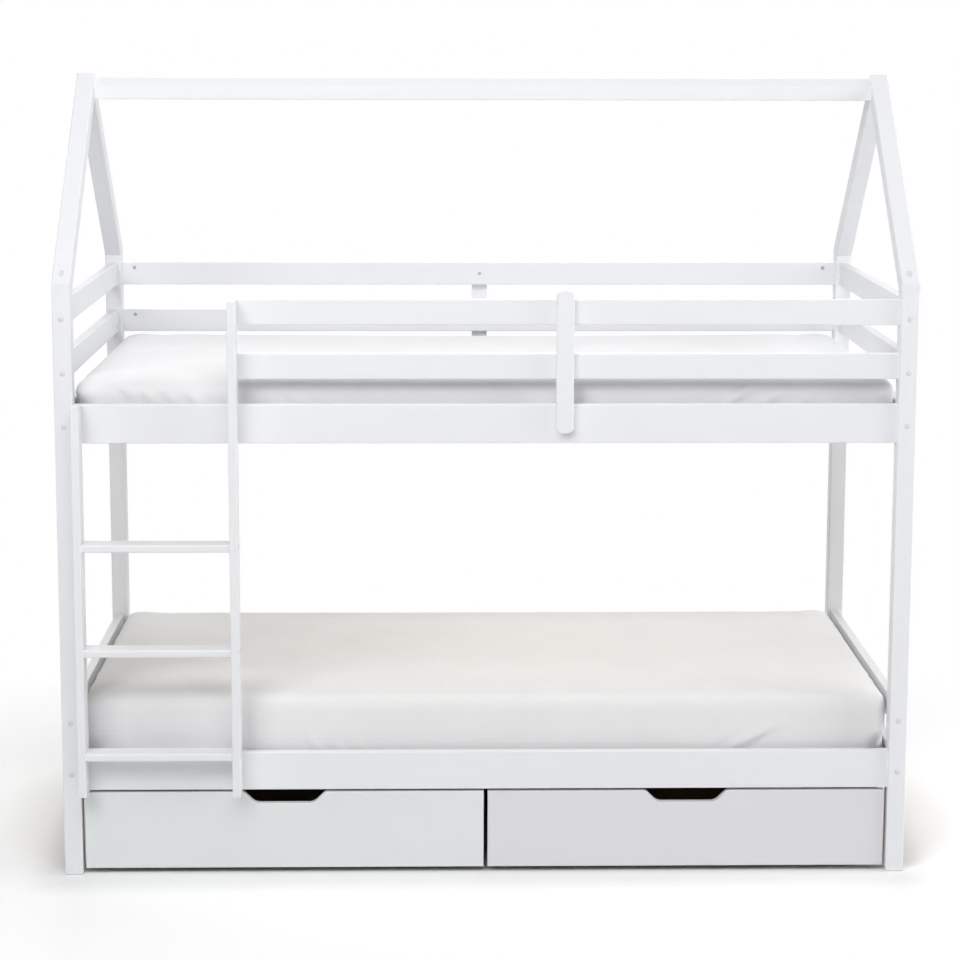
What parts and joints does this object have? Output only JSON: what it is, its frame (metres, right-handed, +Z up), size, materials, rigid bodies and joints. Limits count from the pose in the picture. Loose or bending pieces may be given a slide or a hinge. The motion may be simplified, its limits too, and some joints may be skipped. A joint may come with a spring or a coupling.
{
  "type": "bunk bed",
  "caption": "House-shaped bunk bed in white-painted wood: roofed frame, fixed ladder, guard rails, mattresses and drawers on castors below.",
  "frame": {"origin": "centre of the bounding box at floor level", "axes": "+X along the bed to the viewer's right, +Y from the ladder side to the back, +Z up"},
  "size_m": [2.083, 1.038, 1.9602],
  "materials": {
    "white_paint": "satin white paint on solid pine",
    "drawer_lacquer": "satin white lacquer on board",
    "bare_pine": "planed, untreated",
    "raw_fibreboard": "raw, smooth",
    "brown_board": "raw, smooth",
    "beech": "turned, untreated",
    "fitted_sheet": "plain woven cotton",
    "zinc_steel": "zinc-plated",
    "white_plastic": "moulded, semi-gloss",
    "castor_plastic": "moulded, matt"
  },
  "bodies": {
    "bed_frame": {"front_left_lower_post": "white_paint", "front_left_upper_post": "white_paint", "front_right_lower_post": "white_paint", "front_right_upper_post": "white_paint", "rear_left_lower_post": "white_paint", "rear_left_upper_post": "white_paint", "rear_right_lower_post": "white_paint", "rear_right_upper_post": "white_paint", "front_left_rafter": "white_paint", "front_right_rafter": "white_paint", "rear_left_rafter": "white_paint", "rear_right_rafter": "white_paint", "ridge_beam": "white_paint", "lower_front_side_rail": "white_paint", "lower_rear_side_rail": "white_paint", "upper_front_side_rail": "white_paint", "upper_rear_side_rail": "white_paint", "lower_left_end_rail": "white_paint", "lower_right_end_rail": "white_paint", "upper_left_end_rail": "white_paint", "upper_right_end_rail": "white_paint", "lower_end_guards": "white_paint", "upper_left_end_guards": "white_paint", "upper_right_end_guards": "white_paint", "front_lower_guard": "white_paint", "front_upper_guard": "white_paint", "rear_lower_guard": "white_paint", "rear_upper_guard": "white_paint", "front_batten": "white_paint", "rear_batten": "white_paint", "ladder_left_stile": "white_paint", "ladder_right_stile": "white_paint", "ladder_rungs": "white_paint", "slat_ledgers": "bare_pine", "lower_slats": "bare_pine", "upper_slats": "bare_pine", "lower_mattress": "fitted_sheet", "upper_mattress": "fitted_sheet", "connector_bolts": "zinc_steel", "barrel_nuts": "zinc_steel", "frame_screws": "zinc_steel", "bolt_caps": "white_plastic", "wooden_dowels": "beech"},
    "left_drawer": {"left_drawer_front": "drawer_lacquer", "left_drawer_sides": "raw_fibreboard", "left_drawer_back": "raw_fibreboard", "left_drawer_bottom": "brown_board", "left_castor_forks": "zinc_steel", "left_drawer_fittings": "zinc_steel"},
    "left_front_wheel_pair": {"left_front_wheels": "castor_plastic"},
    "left_rear_wheel_pair": {"left_rear_wheels": "castor_plastic"},
    "right_drawer": {"right_drawer_front": "drawer_lacquer", "right_drawer_sides": "raw_fibreboard", "right_drawer_back": "raw_fibreboard", "right_drawer_bottom": "brown_board", "right_castor_forks": "zinc_steel", "right_drawer_fittings": "zinc_steel"},
    "right_front_wheel_pair": {"right_front_wheels": "castor_plastic"},
    "right_rear_wheel_pair": {"right_rear_wheels": "castor_plastic"}
  },
  "joints": [
    {"name": "left_drawer_slide", "type": "slide", "parent": "bed_frame", "child": "left_drawer", "axis": [0, -1, 0], "range_m": [0, 0.6]},
    {"name": "left_front_wheel_roll", "type": "hinge", "parent": "left_drawer", "child": "left_front_wheel_pair", "pos_m": [-0.497, -0.373, 0.018], "axis": [1, 0, 0], "range_deg": [0, 1915]},
    {"name": "left_rear_wheel_roll", "type": "hinge", "parent": "left_drawer", "child": "left_rear_wheel_pair", "pos_m": [-0.497, 0.111, 0.018], "axis": [1, 0, 0], "range_deg": [0, 1915]},
    {"name": "right_drawer_slide", "type": "slide", "parent": "bed_frame", "child": "right_drawer", "axis": [0, -1, 0], "range_m": [0, 0.6]},
    {"name": "right_front_wheel_roll", "type": "hinge", "parent": "right_drawer", "child": "right_front_wheel_pair", "pos_m": [0.497, -0.373, 0.018], "axis": [1, 0, 0], "range_deg": [0, 1915]},
    {"name": "right_rear_wheel_roll", "type": "hinge", "parent": "right_drawer", "child": "right_rear_wheel_pair", "pos_m": [0.497, 0.111, 0.018], "axis": [1, 0, 0], "range_deg": [0, 1915]}
  ],
  "couplings": [
    {"joint": "left_front_wheel_roll", "follows": "left_drawer_slide", "rad_per_m": 55.556},
    {"joint": "left_rear_wheel_roll", "follows": "left_drawer_slide", "rad_per_m": 55.556},
    {"joint": "right_front_wheel_roll", "follows": "right_drawer_slide", "rad_per_m": 55.556},
    {"joint": "right_rear_wheel_roll", "follows": "right_drawer_slide", "rad_per_m": 55.556}
  ]
}
